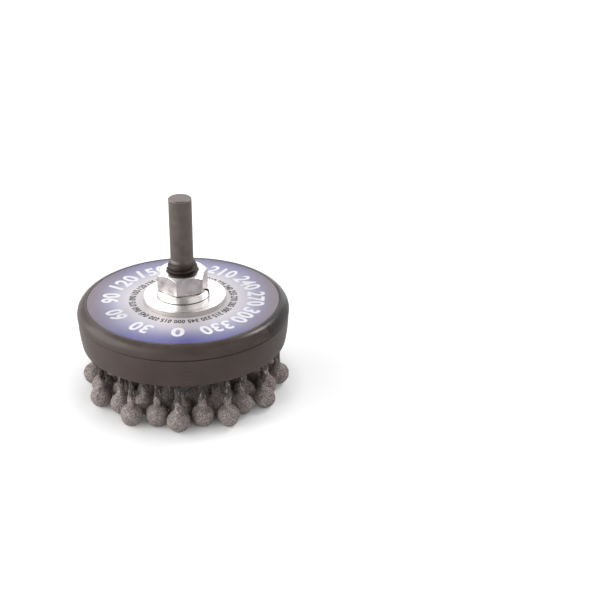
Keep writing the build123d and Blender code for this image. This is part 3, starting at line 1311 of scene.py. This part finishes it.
@dataclass
class Housing:
    """The cover above the groove and the brush block below it, which share the body's edges."""

    rim_width: float = 0.9 * MM
    label_clearance: float = 0.1 * MM
    shoulder_drop: float = 4.5 * MM
    cover_plate: float = 3.6 * MM
    cover_wall: float = 3.4 * MM
    groove_bevel: float = 0.35 * MM
    stud_hole: float = 6.6 * MM
    spigot_clearance: float = 0.08 * MM
    skirt_wall: float = 2.0 * MM
    lip_bevel: float = 0.45 * MM
    mouth_radius: float = 43.0 * MM
    skirt_height: float = 12.2 * MM
    face_recess: float = 3.0 * MM
    resin_depth: float = 1.5 * MM
    resin_creep: float = 0.7 * MM
    well_radius: float = 14.7 * MM
    collar_radius: float = 16.3 * MM
    hub_web: float = 4.0 * MM
    edge: float = 0.3 * MM
    fine_edge: float = 0.2 * MM
    bevel_edge: float = 0.1 * MM
    rim_edge: float = 0.35 * MM
    recess_edges: tuple = (0.12 * MM, 0.05 * MM)
    # How much painted shade darkens one side of the cover.
    cover_painted_shade: float = 0.9
    arc_steps: int = 14
    columns: int = 288

    def bow(self, radius: float, height: float, run: float, rise: float) -> list[Corner]:
        """Give the corners of an arc that starts upright and bends inwards.

        Args:
            radius: The radius where the arc starts.
            height: The height there.
            run: How far it bends inwards.
            rise: How far it goes up, or down where this is negative.

        Returns:
            The corner after each step, the last one at the arc's end.
        """
        bend = (run * run + rise * rise) / (2 * run)
        angles = np.arange(1, self.arc_steps + 1) * math.asin(rise / bend) / self.arc_steps
        return [Corner(radius - bend + bend * math.cos(a), height + bend * math.sin(a)) for a in angles]

    def mould(self, node: str, corners: list[Corner], material: bpy.types.Material) -> bpy.types.Object:
        """Turn an outline into one half of the body.

        Args:
            node: The node that it stands for.
            corners: The outline's corners.
            material: The half's plastic.

        Returns:
            The piece.
        """
        return ring_piece(node, "moulded", Outline(corners).turned(self.columns), material)

    def build_cover(self) -> bpy.types.Object:
        """Build the cover with its round shoulder and the recess for the label.

        Returns:
            The piece.
        """
        low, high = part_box("backing_cover")
        label_low, label_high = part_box("label_disc")
        body = (high.x - low.x) / 2
        recess = (label_high.x - label_low.x) / 2 + self.label_clearance
        rim = recess + self.rim_width
        plate_z = high.z - self.cover_plate
        shoulder_z = high.z - self.shoulder_drop
        corners = [
            Corner(self.stud_hole, plate_z),
            Corner(body - self.cover_wall, plate_z, self.edge),
            Corner(body - self.cover_wall, low.z, self.fine_edge),
            Corner(body - self.groove_bevel, low.z, self.bevel_edge),
            Corner(body, low.z + self.groove_bevel, self.edge),
            Corner(body, shoulder_z),
            *self.bow(body, shoulder_z, body - rim, self.shoulder_drop)[:-1],
            Corner(rim, high.z, self.rim_edge),
            Corner(recess, high.z, self.recess_edges[0]),
            Corner(recess, label_low.z, self.recess_edges[1]),
            Corner(self.stud_hole, label_low.z),
        ]
        # The cover is given painted shade on one side.
        plastic = MouldedPlastic("moulded_cover", grime_and_painted_shade_share=self.cover_painted_shade)
        return self.mould("backing_cover", corners, plastic.material())

    def build_block(self) -> bpy.types.Object:
        """Build the brush block with its bowed skirt, its lip and the well for the lower nut.

        Returns:
            The piece.
        """
        low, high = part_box("brush_block")
        cover_low, cover_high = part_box("backing_cover")
        top = (high.x - low.x) / 2
        top_z = low.z + self.skirt_height
        lip_z = low.z + self.lip_bevel
        web_z = high.z - self.hub_web
        face_z = low.z + self.face_recess + self.resin_depth
        collar_z = low.z + self.face_recess - self.resin_creep
        inner = self.mouth_radius - self.skirt_wall
        spigot = (cover_high.x - cover_low.x) / 2 - self.cover_wall - self.spigot_clearance
        corners = [
            Corner(self.stud_hole, high.z),
            Corner(self.stud_hole, web_z),
            Corner(self.well_radius, web_z, self.edge),
            Corner(self.well_radius, collar_z, self.edge),
            Corner(self.collar_radius, collar_z, self.edge),
            Corner(self.collar_radius, face_z),
            Corner(inner, face_z),
            Corner(inner, lip_z, self.edge),
            Corner(inner + self.lip_bevel, low.z, self.edge),
            Corner(self.mouth_radius - self.lip_bevel, low.z, self.rim_edge),
            *self.bow(top, top_z, top - self.mouth_radius, lip_z - top_z)[::-1],
            Corner(top, top_z, self.edge),
            Corner(spigot, top_z, self.fine_edge),
            Corner(spigot, high.z, self.fine_edge),
        ]
        return self.mould("brush_block", corners, MouldedPlastic("moulded_block").material())


@dataclass
class BallSeat:
    """One ball as its solid stands in the frame."""

    LOW = 4.0 * MM
    TIP = 0.6 * MM

    centre: Vector
    radius: float
    line: Vector
    tail_length: float

    @classmethod
    def read(cls, points: np.ndarray) -> "BallSeat":
        """Read a seat from the points of one solid.

        Args:
            points: The solid's points. Those near the floor lie on the ball.

        Returns:
            The seat.
        """
        lowest = points[points[:, 2] < cls.LOW]
        sums = np.concatenate([2.0 * lowest, np.ones((len(lowest), 1))], axis=1)
        found = np.linalg.lstsq(sums, (lowest**2).sum(axis=1), rcond=None)[0]
        centre = found[:3]
        radius = math.sqrt(found[3] + centre @ centre)
        tip = points[points[:, 2] > points[:, 2].max() - cls.TIP].mean(axis=0)
        along = tip - centre
        length = float(np.linalg.norm(along))
        return cls(Vector(centre), radius, Vector(along / length), length)

    def place(self, grid: np.ndarray) -> np.ndarray:
        """Turn points that rise from the ball's centre on to its filament's line, and move them there."""
        turn = UPRIGHT.rotation_difference(self.line).to_matrix()
        return grid @ np.array(turn).T + np.array(self.centre)


@dataclass
class BallRing:
    """One ring of abrasive balls, with the filaments that hold them.

    The seeds and beats make every ball differ from the others in a fixed way. The places of the
    collar and of the tail's start are in radii of the ball.
    """

    number: int
    neck_radius: float = 1.4 * MM
    neck_rows: int = 10
    tip_radius: float = 0.97 * MM
    tip_cap: tuple = ((0.8245 * MM, 0.12 * MM), (0.55 * MM, 0.2 * MM))
    shoulder_angle: tuple = (math.radians(21), math.radians(41))
    foot_angle: float = 0.03
    lumps: Lumps = Lumps(2.6 * MM, 0.25 * MM)
    swells: Lumps = Lumps(6.0 * MM, 0.4 * MM, 4.0)
    grit: Lumps = Lumps(0.42 * MM, 0.06 * MM, 9.0)
    collar_lumps: Lumps = Lumps(1.3 * MM, 0.3 * MM, 2.0)
    collar_place: tuple = (1.35, 0.35)
    tail_flakes: Lumps = Lumps(0.9 * MM, 0.45 * MM, 5.0)
    tail_flake_floor: float = 0.0225 * MM
    tail_start: tuple = (1.0, 1.6)
    tail_sway: float = 0.3 * MM
    tail_spread: float = 0.14
    ring_seed: float = 17.3
    place_seed: float = 3.7
    shoulder_beat: float = 7.7
    spread_beat: float = 5.1
    sway_beat: float = 2.3
    seat_gap: float = math.radians(1.0)
    foot_clearance: float = 0.01 * MM
    reach: float = 44.4 * MM
    columns: int = 72
    ball_rows: int = 64
    tail_rows: int = 34
    filament_radius: float = 0.8 * MM
    filament_inside: float = 2.0 * MM
    filament_rows: int = 26
    filament_columns: int = 20
    coating: float = 0.12 * MM
    coating_reach: float = 2.5 * MM
    coating_size: float = 0.7 * MM
    coating_swell: tuple = (0.05, 0.16)
    root_depth: float = 1.0 * MM
    seats: list[BallSeat] = field(default_factory=list)

    def read_seats(self) -> None:
        """Find the balls of the ring's node: sorted round the axis, a gap parts one from the next."""
        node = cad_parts[f"ball_ring_{self.number}"]
        points = np.array([vertex.co for vertex in node.data.vertices])
        angle = np.arctan2(points[:, 1], points[:, 0])
        order = np.argsort(angle)
        steps = np.diff(angle[order], append=angle[order[0]] + FULL_TURN)
        breaks = np.flatnonzero(steps > self.seat_gap)
        order = np.roll(order, -(breaks[-1] + 1))
        sizes = np.diff(breaks, prepend=breaks[-1] - len(order))
        starts = np.concatenate([[0], np.cumsum(sizes)])
        for start, end in zip(starts[:-1], starts[1:]):
            self.seats.append(BallSeat.read(points[order[start:end]]))

    def profile(self, seat: BallSeat, seed: float) -> np.ndarray:
        """Give a ball's outline with its tail, in radius and distance along the filament.

        Args:
            seat: The ball's seat.
            seed: A number that makes it differ from other balls.

        Returns:
            Points from the ball's foot to its tail's tip.
        """
        low, high = self.shoulder_angle
        shoulder = (low + high) / 2 + (high - low) / 2 * math.sin(self.shoulder_beat * seed)
        polar = np.linspace(math.pi - self.foot_angle, shoulder, self.ball_rows)
        ball = np.stack([seat.radius * np.sin(polar), seat.radius * np.cos(polar)], -1)
        turn = math.pi / 2 - shoulder
        bend = (ball[-1, 0] - self.neck_radius) / (1 - math.cos(turn))
        angles = np.linspace(turn, 0.0, self.neck_rows)[1:]
        neck_end = ball[-1, 1] + bend * math.sin(turn)
        neck_width = self.neck_radius + bend * (1 - np.cos(angles))
        neck = np.stack([neck_width, neck_end - bend * np.sin(angles)], -1)
        share = np.linspace(0.0, 1.0, self.tail_rows)[1:]
        width = self.neck_radius + (self.tip_radius - self.neck_radius) * share
        tail = np.stack([width, neck_end + (seat.tail_length - neck_end) * share], -1)
        cap = [(radius, seat.tail_length + above) for radius, above in self.tip_cap]
        return np.concatenate([ball, neck, tail, cap])

    def ball_grid(self, seat: BallSeat, seed: float) -> np.ndarray:
        """Give a ball's points, uneven and gritty, where the ball stands.

        Args:
            seat: The ball's seat.
            seed: A number that makes it differ from other balls.

        Returns:
            A grid of points.
        """
        outline = self.profile(seat, seed)
        distance = outline[:, 1]
        tail = smooth_step(distance / seat.radius, *self.tail_start)
        outline[:, 0] *= 1.0 + tail * self.tail_spread * math.sin(self.spread_beat * seed)
        angles = turn_steps(self.columns)
        grid = round_axis(outline[:, :1], distance[:, None], angles)
        along = np.gradient(outline, axis=0)
        along /= np.linalg.norm(along, axis=1, keepdims=True)
        normal = round_axis(along[:, 1:], -along[:, :1], angles)
        grid += normal * self.unevenness(grid, seat, tail, seed)[..., None]
        share = np.clip((distance - seat.radius) / (seat.tail_length - seat.radius), 0.0, 1.0)
        sway = np.sin(math.pi * share) * self.tail_sway * math.sin(self.sway_beat * seed)
        grid[..., 0] += (sway * math.cos(seed))[:, None]
        grid[..., 1] += (sway * math.sin(seed))[:, None]
        placed = seat.place(grid)
        placed[..., 2] = np.maximum(placed[..., 2], self.foot_clearance)
        away = np.hypot(placed[..., 0], placed[..., 1])
        placed[..., :2] *= np.minimum(1.0, self.reach / away)[..., None]
        return placed

    def unevenness(self, grid: np.ndarray, seat: BallSeat, tail: np.ndarray, seed: float) -> np.ndarray:
        """Give how far the surface stands out, from large swells down to grains and tail flakes.

        Args:
            grid: The smooth ball's points.
            seat: The ball's seat.
            tail: How much each row belongs to the tail.
            seed: A number that makes it differ from other balls.

        Returns:
            The distance at each point, in metres.
        """
        middle, width = (share * seat.radius for share in self.collar_place)
        collar = np.exp(-(((grid[..., 2] - middle) / width) ** 2))
        flakes = np.clip(self.tail_flakes.at(grid, seed) - self.tail_flake_floor, 0.0, None)
        ball = self.lumps.at(grid, seed) + self.swells.at(grid, seed) + self.grit.at(grid, seed)
        return ball + self.collar_lumps.at(grid, seed) * collar + flakes * tail[:, None]

    def filament_grid(self, seat: BallSeat, root_z: float, seed: float) -> np.ndarray:
        """Give a filament's points, from inside the tail to inside the resin.

        Args:
            seat: The seat of the filament's ball.
            root_z: The height where it ends in the resin.
            seed: A number that makes it differ from other filaments.

        Returns:
            A grid of points.
        """
        start = seat.tail_length - self.filament_inside
        end = (root_z - seat.centre.z) / seat.line.z
        distance = np.linspace(start, end, self.filament_rows)[:, None]
        coated = 1.0 - smooth_step(distance, seat.tail_length, seat.tail_length + self.coating_reach)
        width = self.filament_radius + self.coating * coated
        grid = round_axis(width, distance, turn_steps(self.filament_columns))
        plain, crusty = self.coating_swell
        grid[..., :2] *= (1.0 + rough(grid, self.coating_size, seed) * (plain + crusty * coated))[..., None]
        return seat.place(grid)

    def build(self, face_z: float) -> list[bpy.types.Object]:
        """Build the ring's balls and filaments.

        Args:
            face_z: The height of the resin's face, which sets where the filaments end.

        Returns:
            The two pieces.
        """
        self.read_seats()
        balls, filaments = Skin(), Skin()
        for place, seat in enumerate(self.seats):
            seed = self.ring_seed * self.number + self.place_seed * place
            balls.add_grid(self.ball_grid(seat, seed), close_start=True, close_end=True)
            strand = self.filament_grid(seat, face_z + self.root_depth, seed)
            filaments.add_grid(strand, close_start=True, close_end=True)
        ball_piece = balls.make(f"abrasive_balls_{self.number}")
        dress(ball_piece, AbrasiveGrit(f"abrasive_grit_{self.number}").material())
        strand_piece = filaments.make(f"nylon_filaments_{self.number}")
        dress(strand_piece, DrawnNylon(f"drawn_nylon_{self.number}").material())
        for piece in (ball_piece, strand_piece):
            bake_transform(piece)
        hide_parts(f"ball_ring_{self.number}")
        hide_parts(f"filament_ring_{self.number}")
        return [ball_piece, strand_piece]


@dataclass
class ResinBed:
    """The potting resin, which creeps up the walls and stands in small cones round the roots."""

    collar_radius: float = 16.34 * MM
    creep: float = 0.7 * MM
    creep_width: float = 1.8 * MM
    root_radius: float = 0.8 * MM
    cone_height: float = 0.9 * MM
    cone_width: float = 0.5625 * MM
    ripples: Lumps = Lumps(2.8 * MM, 0.22 * MM, 3.0)
    fine_ripples: Lumps = Lumps(0.9 * MM, 0.077 * MM, 8.0)
    still_width: float = 0.8 * MM
    rows: int = 90
    columns: int = 540
    crease: float = math.radians(60)

    def build(self, rings: list[BallRing]) -> bpy.types.Object:
        """Build the bed as one rippled face with a flat back.

        Args:
            rings: The ball rings, whose filaments come out of the face.

        Returns:
            The piece.
        """
        low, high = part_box("resin_bed")
        outer = (high.x - low.x) / 2
        face = low.z + self.creep
        radii = np.linspace(outer, self.collar_radius, self.rows)[:, None]
        grid = round_axis(radii, face, turn_steps(self.columns))
        wall = np.minimum(outer - radii, radii - self.collar_radius)
        drop = self.creep * (1.0 - smooth_step(wall, 0.0, self.creep_width))
        for seat in (seat for ring in rings for seat in ring.seats):
            root = seat.centre + seat.line * ((face - seat.centre.z) / seat.line.z)
            away = np.hypot(grid[..., 0] - root.x, grid[..., 1] - root.y) - self.root_radius
            cone = self.cone_height * np.exp(-np.clip(away, 0.0, None) / self.cone_width)
            drop = np.maximum(drop, cone)
        ripples = self.ripples.at(grid) + self.fine_ripples.at(grid)
        settled = smooth_step(wall, 0.0, self.still_width)
        grid[..., 2] = np.maximum(face - drop - ripples * settled, low.z)
        back = grid[[-1, 0]].copy()
        back[..., 2] = high.z
        grid = np.concatenate([grid[::-1], back[::-1]])
        return ring_piece("resin_bed", "cast", grid, CastResin().material(), self.crease)


@dataclass
class PhotoCamera:
    """The camera, at the photograph's viewing angle.

    The distance and height are measured from the tool axis and the label's plane. The yaw turns
    the camera to the right of the hone, which then stands at the left of the frame.
    """

    distance: float = 0.4927
    height: float = 0.2428
    azimuth: float = math.radians(5.1)
    pitch: float = math.radians(-26.377)
    yaw: float = math.radians(5.708)
    roll: float = math.radians(0.476)
    focal_pixels: float = 1302.0
    frame_pixels: int = 600
    sensor: float = 36.0
    clip: tuple = (0.01, 50.0)

    def build(self) -> bpy.types.Object:
        """Build the camera and make it the scene's own.

        Returns:
            The camera.
        """
        data = bpy.data.cameras.new("photo_camera")
        data.sensor_width = self.sensor
        data.lens = self.focal_pixels * self.sensor / self.frame_pixels
        data.clip_start, data.clip_end = self.clip
        camera = bpy.data.objects.new("photo_camera", data)
        bpy.context.scene.collection.objects.link(camera)
        ahead = Vector(
            (
                math.sin(self.yaw) * math.cos(self.pitch),
                math.cos(self.yaw) * math.cos(self.pitch),
                math.sin(self.pitch),
            )
        )
        right = ahead.cross(UPRIGHT).normalized()
        up = right.cross(ahead)
        rolled_right = right * math.cos(self.roll) + up * math.sin(self.roll)
        rolled_up = up * math.cos(self.roll) - right * math.sin(self.roll)
        turn = Matrix((rolled_right, rolled_up, -ahead)).transposed().to_4x4()
        spot = Vector((0.0, -self.distance, self.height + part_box("label_disc")[1].z))
        swing = Matrix.Rotation(self.azimuth, 4, "Z")
        camera.matrix_world = swing @ Matrix.Translation(spot) @ turn
        bpy.context.scene.camera = camera
        return camera


@dataclass(frozen=True)
class Lamp:
    """A soft square lamp that looks at the hone."""

    name: str
    spot: tuple
    size: float
    power: float
    aim: tuple = (0.0, 0.0, 0.03)

    def build(self) -> None:
        """Hang the lamp."""
        data = bpy.data.lights.new(self.name, "AREA")
        data.size = self.size
        data.energy = self.power
        lamp = bpy.data.objects.new(self.name, data)
        bpy.context.scene.collection.objects.link(lamp)
        line = Vector(self.aim) - Vector(self.spot)
        turn = line.to_track_quat("-Z", "Y").to_matrix().to_4x4()
        lamp.matrix_world = Matrix.Translation(self.spot) @ turn


@dataclass
class Studio:
    """A pale floor, soft lamps and a plain white surround, darker behind the camera."""

    floor_size: float = 8.0
    floor_colour: tuple = (0.8, 0.8, 0.8, 1.0)
    near_glow: float = 0.42
    near_reach: tuple = (32.0 * MM, 52.0 * MM)
    far_glow: float = 0.3
    far_reach: tuple = (0.15, 0.9)
    surround_colour: tuple = (1.0, 1.0, 1.0, 1.0)
    shown_level: float = 1.0
    surround: float = 0.336
    mirrored: float = 0.8
    dark_side: tuple = (0.28, -0.79, 0.54)
    dark_level: float = 0.12
    dark_reach: tuple = (math.cos(math.radians(70)), math.cos(math.radians(28)))
    lamps: tuple = (
        Lamp("left_lamp", (-1.08, 0.0, 0.42), 1.1, 10.5),
        Lamp("left_front_lamp", (-0.80, -0.67, 0.52), 0.9, 5.0),
        Lamp("right_front_lamp", (0.80, -0.67, 0.52), 0.9, 2.2),
        Lamp("right_lamp", (0.68, 0.38, 0.86), 0.34, 3.4),
        Lamp("back_left_lamp", (-0.68, 0.57, 0.77), 0.4, 0.7),
        Lamp("back_right_lamp", (0.68, 0.57, 0.77), 0.4, 0.8),
        Lamp("back_lamp", (0.15, 1.10, 0.36), 1.0, 2.3),
    )

    def build(self) -> None:
        """Build the floor, the surround and the lamps."""
        self.build_floor()
        self.build_surround()
        for lamp in self.lamps:
            lamp.build()
        bpy.context.scene.view_settings.view_transform = "Standard"

    def build_floor(self) -> None:
        """Build the floor, which shows white round the hone and keeps its shadow."""
        half = self.floor_size / 2
        corners = [(-half, -half, 0.0), (half, -half, 0.0), (half, half, 0.0), (-half, half, 0.0)]
        mesh = bpy.data.meshes.new("studio_floor")
        mesh.from_pydata(corners, [], [(0, 1, 2, 3)])
        floor = bpy.data.objects.new("studio_floor", mesh)
        bpy.context.scene.collection.objects.link(floor)
        floor.data.materials.append(self.floor_material())

    def floor_material(self) -> bpy.types.Material:
        """Give the floor's material: matt, glowing only to the eye, and clear from below.

        Returns:
            The material.
        """
        nodes = Nodes("studio_floor")
        matt = nodes.add("BsdfDiffuse", {"Color": self.floor_colour}).outputs[0]
        near = nodes.between(nodes.radius(), *self.near_reach, (0.0, self.near_glow))
        near = nodes.math("MULTIPLY", nodes.seen("Camera", "Transmission"), near)
        far = nodes.between(nodes.radius(), *self.far_reach, (0.0, self.far_glow))
        far = nodes.math("MULTIPLY", nodes.seen("Camera", "Glossy", "Transmission"), far)
        light = nodes.add("Emission", {"Strength": nodes.math("ADD", near, far)}).outputs[0]
        surface = nodes.add("AddShader", {0: matt, 1: light}).outputs[0]
        below = nodes.add("NewGeometry").outputs["Backfacing"]
        clear = nodes.add("BsdfTransparent").outputs[0]
        seen_below = nodes.math("MULTIPLY", nodes.seen("Camera"), below)
        return nodes.show(nodes.add("MixShader", {0: seen_below, 1: surface, 2: clear}))

    def build_surround(self) -> None:
        """Build the world: white to look at and in a mirror, with a softer light on things."""
        nodes = Nodes("studio_surround", world=True)
        toward = nodes.add("TexCoord").outputs["Generated"]
        facing = nodes.add("VectorMath", {0: toward, 1: self.dark_side}, operation="DOT_PRODUCT")
        mirror = nodes.between(facing.outputs["Value"], *self.dark_reach, (self.mirrored, self.dark_level))
        level = nodes.blend(nodes.seen("Glossy"), self.surround, mirror)
        level = nodes.blend(nodes.seen("Camera", "Transmission"), level, self.shown_level)
        background = nodes.add("Background", {"Color": self.surround_colour, "Strength": level})
        bpy.context.scene.world = nodes.show(background)


def report(pieces: list[bpy.types.Object]) -> None:
    """Report each piece and the number of its points."""
    for piece in pieces:
        log.info("%s: %d points", piece.name, len(piece.data.vertices))


def main() -> None:
    """Build every sub-assembly in order, then the camera and the studio."""
    logging.basicConfig(level=logging.INFO, format="%(name)s %(message)s")
    housing = Housing()
    upper_nut = JamNut("jam_nut", turn=math.radians(21.5))
    lower_nut = JamNut(
        "lower_jam_nut", turn=math.radians(47.0), chamfer_angles=upper_nut.chamfer_angles[::-1]
    )
    report([housing.build_cover(), housing.build_block()])
    report([Arbor().build(), upper_nut.build(), lower_nut.build(), SplitWasher().build()])
    report([FlatWasher("flat_washer", bore_radius=7.145 * MM).build()])
    report([FlatWasher("lower_washer", bore_radius=6.745 * MM).build()])
    report(LabelDial().build())
    resin = ResinBed()
    face_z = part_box("resin_bed")[0].z + resin.creep
    rings = [BallRing(number) for number in RING_NUMBERS]
    for ring in rings:
        report(ring.build(face_z))
    report([resin.build(rings)])
    PhotoCamera().build()
    Studio().build()


if __name__ == "__main__":
    main()
